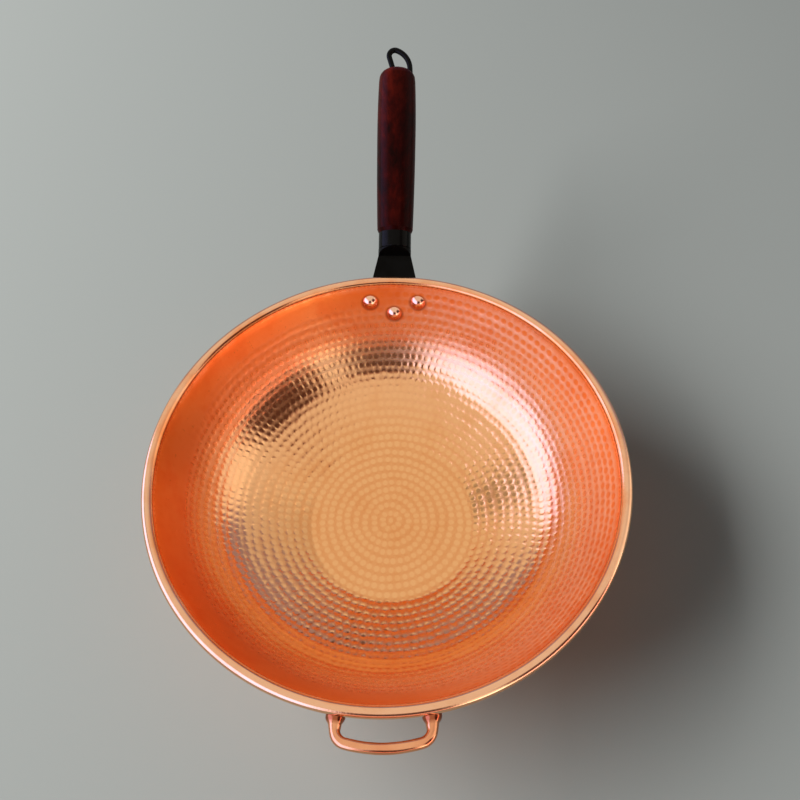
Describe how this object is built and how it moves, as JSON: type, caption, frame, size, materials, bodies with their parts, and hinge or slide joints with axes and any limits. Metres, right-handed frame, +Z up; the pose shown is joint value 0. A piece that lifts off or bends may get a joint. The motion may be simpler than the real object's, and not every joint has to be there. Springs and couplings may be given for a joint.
{
  "type": "wok",
  "caption": "Round-bottomed hammered copper wok with a rolled rim, a long turned wooden grip on a riveted black bracket, and a short bent helper handle opposite it.",
  "frame": {"origin": "centre of the flat bottom's outside face", "axes": "+Z up out of the bowl, +Y towards the long handle, +X to the right seen from the helper handle"},
  "size_m": [0.3199, 0.5008, 0.181],
  "materials": {
    "copper": "hammered and polished copper",
    "rivet_copper": "polished copper",
    "black_steel": "black satin",
    "black_gloss": "black gloss",
    "dark_wood": "dark red-brown gloss",
    "loop_black": "black gloss",
    "rod_copper": "polished copper"
  },
  "bodies": {
    "root": {"bowl": "copper", "handle_rivets": "rivet_copper", "handle_bracket": "black_steel", "ferrule": "black_gloss", "grip": "dark_wood", "hanging_loop": "loop_black", "helper_handle": "rod_copper"}
  },
  "joints": []
}
